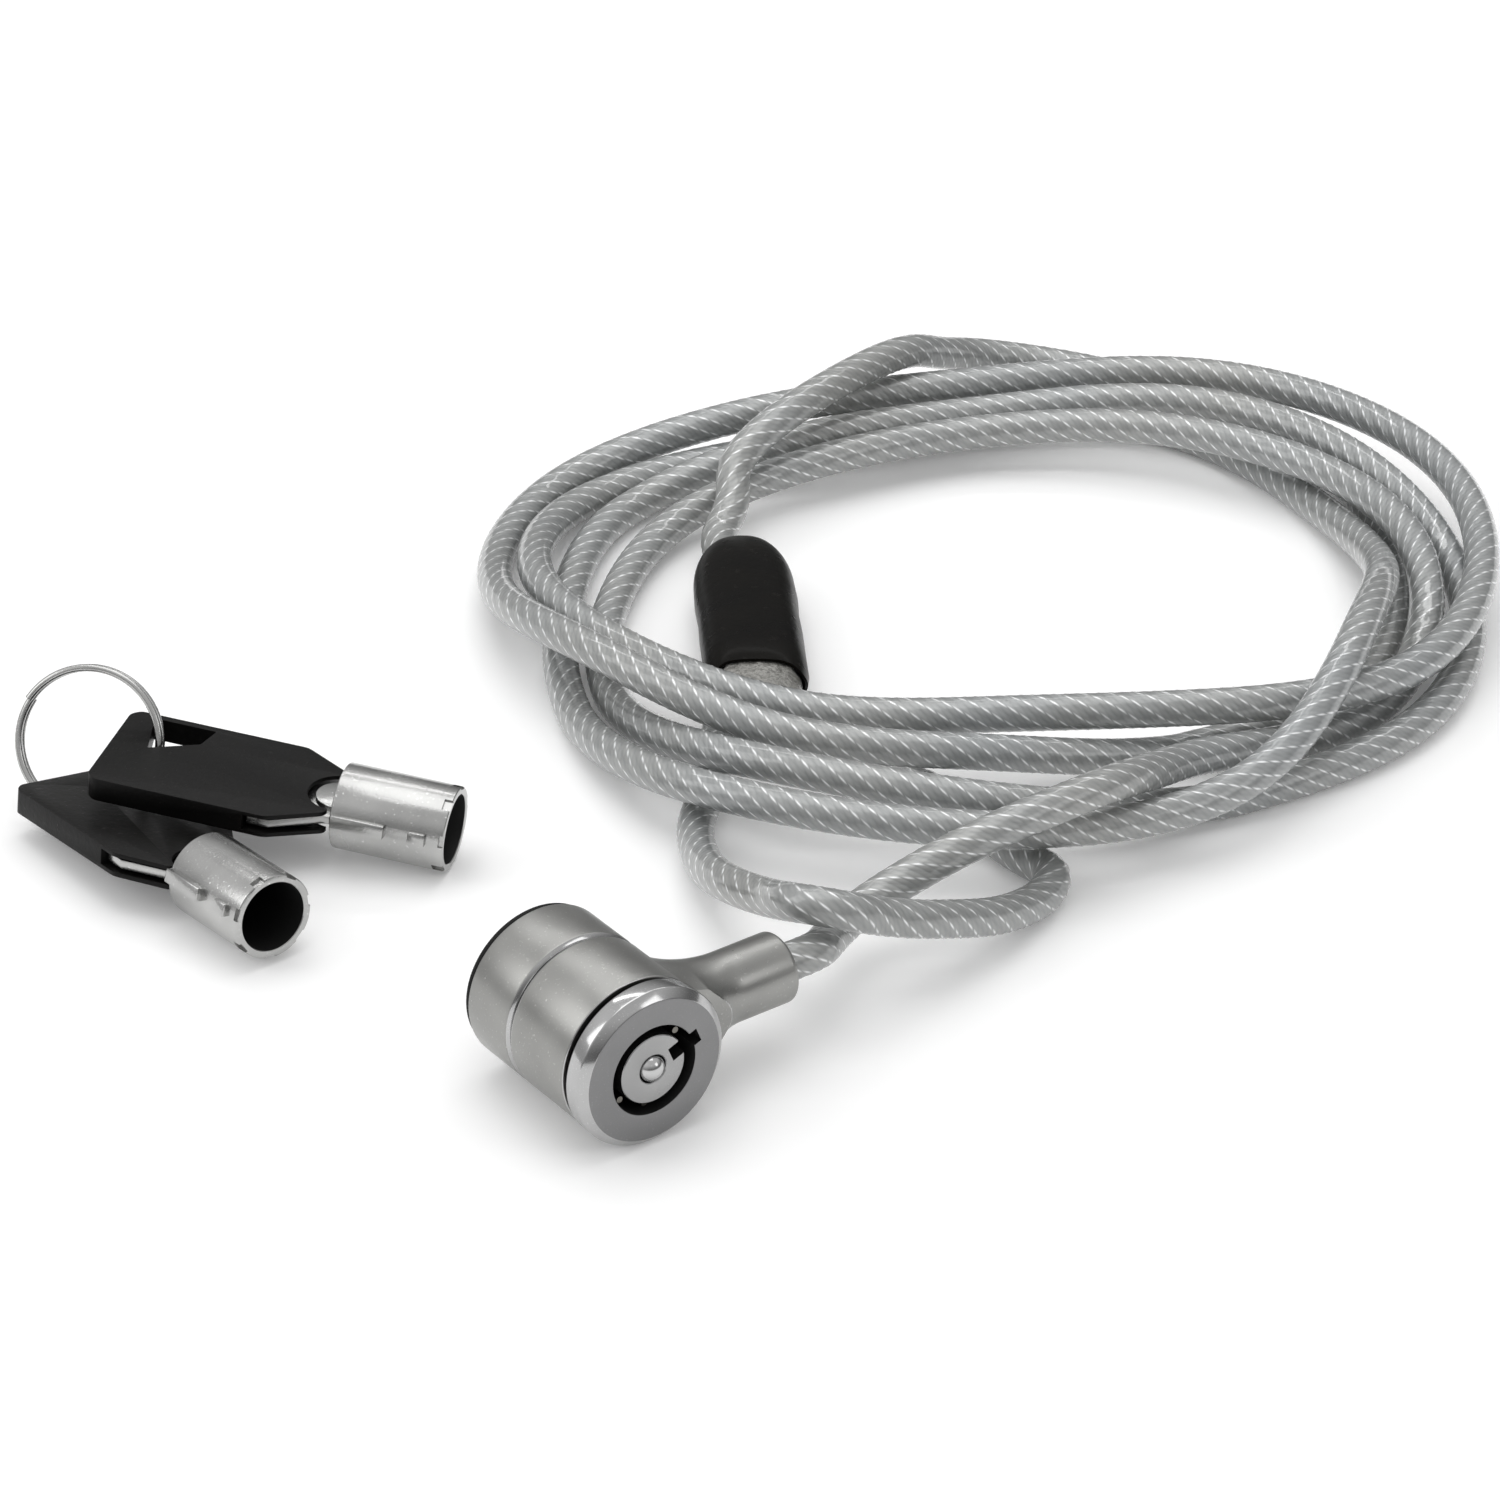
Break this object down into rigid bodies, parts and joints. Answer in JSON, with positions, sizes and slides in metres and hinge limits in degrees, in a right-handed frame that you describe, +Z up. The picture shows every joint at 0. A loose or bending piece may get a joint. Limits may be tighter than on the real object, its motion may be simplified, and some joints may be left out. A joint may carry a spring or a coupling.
{
  "type": "laptop cable lock",
  "caption": "Laptop cable lock: a tubular-key lock head with a side arm, a coiled wire-rope cable ending in an eye under a dipped sleeve, and tubular keys on a split ring.",
  "frame": {"origin": "on the ground under the middle of the lock head and the keys", "axes": "+Z up from the ground, +Y away from the viewer of the picture, +X to its right"},
  "size_m": [0.1616, 0.1683, 0.017],
  "materials": {
    "satin_nickel": "satin plated die casting with a fine grain",
    "brushed_face": "finely brushed face with a polished edge",
    "key_chrome": "bright plating",
    "pin_steel": "plain bright steel",
    "gasket_rubber": "matte black",
    "swage_aluminium": "pressed, dull",
    "coated_cable": "twisted steel strands under a clear glossy coat",
    "dipped_sleeve": "glossy black dip",
    "key_head_plastic": "satin black moulding"
  },
  "bodies": {
    "collar": {"arm_collar": "satin_nickel", "cable_crimp": "swage_aluminium", "cable_lead": "coated_cable", "cable_coil": "coated_cable", "cable_tail": "coated_cable", "eye_loop": "coated_cable", "swage_sleeve": "swage_aluminium", "sleeve_cover": "dipped_sleeve"},
    "barrel": {"lock_case": "brushed_face", "spacer_ring": "gasket_rubber", "rear_guard": "satin_nickel", "rear_gasket": "gasket_rubber", "case_back": "pin_steel", "guard_stud_1": "pin_steel", "guard_stud_2": "pin_steel"},
    "core": {"key_post": "satin_nickel", "centre_ball": "pin_steel", "core_circlip": "pin_steel", "t_tip": "pin_steel", "pin_spring_1": "pin_steel", "pin_spring_2": "pin_steel", "pin_spring_3": "pin_steel", "pin_spring_4": "pin_steel", "pin_spring_5": "pin_steel", "pin_spring_6": "pin_steel", "pin_spring_7": "pin_steel"},
    "pin_1": {"tumbler_pin_1": "pin_steel"},
    "pin_2": {"tumbler_pin_2": "pin_steel"},
    "pin_3": {"tumbler_pin_3": "pin_steel"},
    "pin_4": {"tumbler_pin_4": "pin_steel"},
    "pin_5": {"tumbler_pin_5": "pin_steel"},
    "pin_6": {"tumbler_pin_6": "pin_steel"},
    "pin_7": {"tumbler_pin_7": "pin_steel"},
    "ring": {"key_ring": "key_chrome"},
    "key_a": {"key_a_tube": "key_chrome", "key_a_blade": "key_chrome", "key_a_head": "key_head_plastic"},
    "key_b": {"key_b_tube": "key_chrome", "key_b_blade": "key_chrome", "key_b_head": "key_head_plastic"}
  },
  "joints": [
    {"name": "barrel_turn", "type": "hinge", "parent": "collar", "child": "barrel", "pos_m": [0.02279, -0.02531, 0.0085], "axis": [0.592, -0.8059, 0], "continuous": true},
    {"name": "core_turn", "type": "hinge", "parent": "barrel", "child": "core", "pos_m": [0.02279, -0.02531, 0.0085], "axis": [0.592, -0.8059, 0], "range_deg": [0, 90]},
    {"name": "pin_press_1", "type": "slide", "parent": "core", "child": "pin_1", "axis": [-0.592, 0.8059, 0], "range_m": [0, 0.0015], "stiffness_N_per_m": 30, "springref_m": -0.001},
    {"name": "pin_press_2", "type": "slide", "parent": "core", "child": "pin_2", "axis": [-0.592, 0.8059, 0], "range_m": [0, 0.0015], "stiffness_N_per_m": 30, "springref_m": -0.001},
    {"name": "pin_press_3", "type": "slide", "parent": "core", "child": "pin_3", "axis": [-0.592, 0.8059, 0], "range_m": [0, 0.0015], "stiffness_N_per_m": 30, "springref_m": -0.001},
    {"name": "pin_press_4", "type": "slide", "parent": "core", "child": "pin_4", "axis": [-0.592, 0.8059, 0], "range_m": [0, 0.0015], "stiffness_N_per_m": 30, "springref_m": -0.001},
    {"name": "pin_press_5", "type": "slide", "parent": "core", "child": "pin_5", "axis": [-0.592, 0.8059, 0], "range_m": [0, 0.0015], "stiffness_N_per_m": 30, "springref_m": -0.001},
    {"name": "pin_press_6", "type": "slide", "parent": "core", "child": "pin_6", "axis": [-0.592, 0.8059, 0], "range_m": [0, 0.0015], "stiffness_N_per_m": 30, "springref_m": -0.001},
    {"name": "pin_press_7", "type": "slide", "parent": "core", "child": "pin_7", "axis": [-0.592, 0.8059, 0], "range_m": [0, 0.0015], "stiffness_N_per_m": 30, "springref_m": -0.001},
    {"name": "keys_lift", "type": "slide", "parent": "collar", "child": "ring", "axis": [0, 0, 1], "range_m": [0, 0.04]},
    {"name": "key_a_swing", "type": "hinge", "parent": "ring", "child": "key_a", "pos_m": [-0.02573, 0.03017, 0.00694], "axis": [0, 0, 1], "range_deg": [-8, 20]},
    {"name": "key_b_swing", "type": "hinge", "parent": "ring", "child": "key_b", "pos_m": [-0.02842, 0.02838, 0.00276], "axis": [0, 0, 1], "range_deg": [-4, 6]}
  ]
}
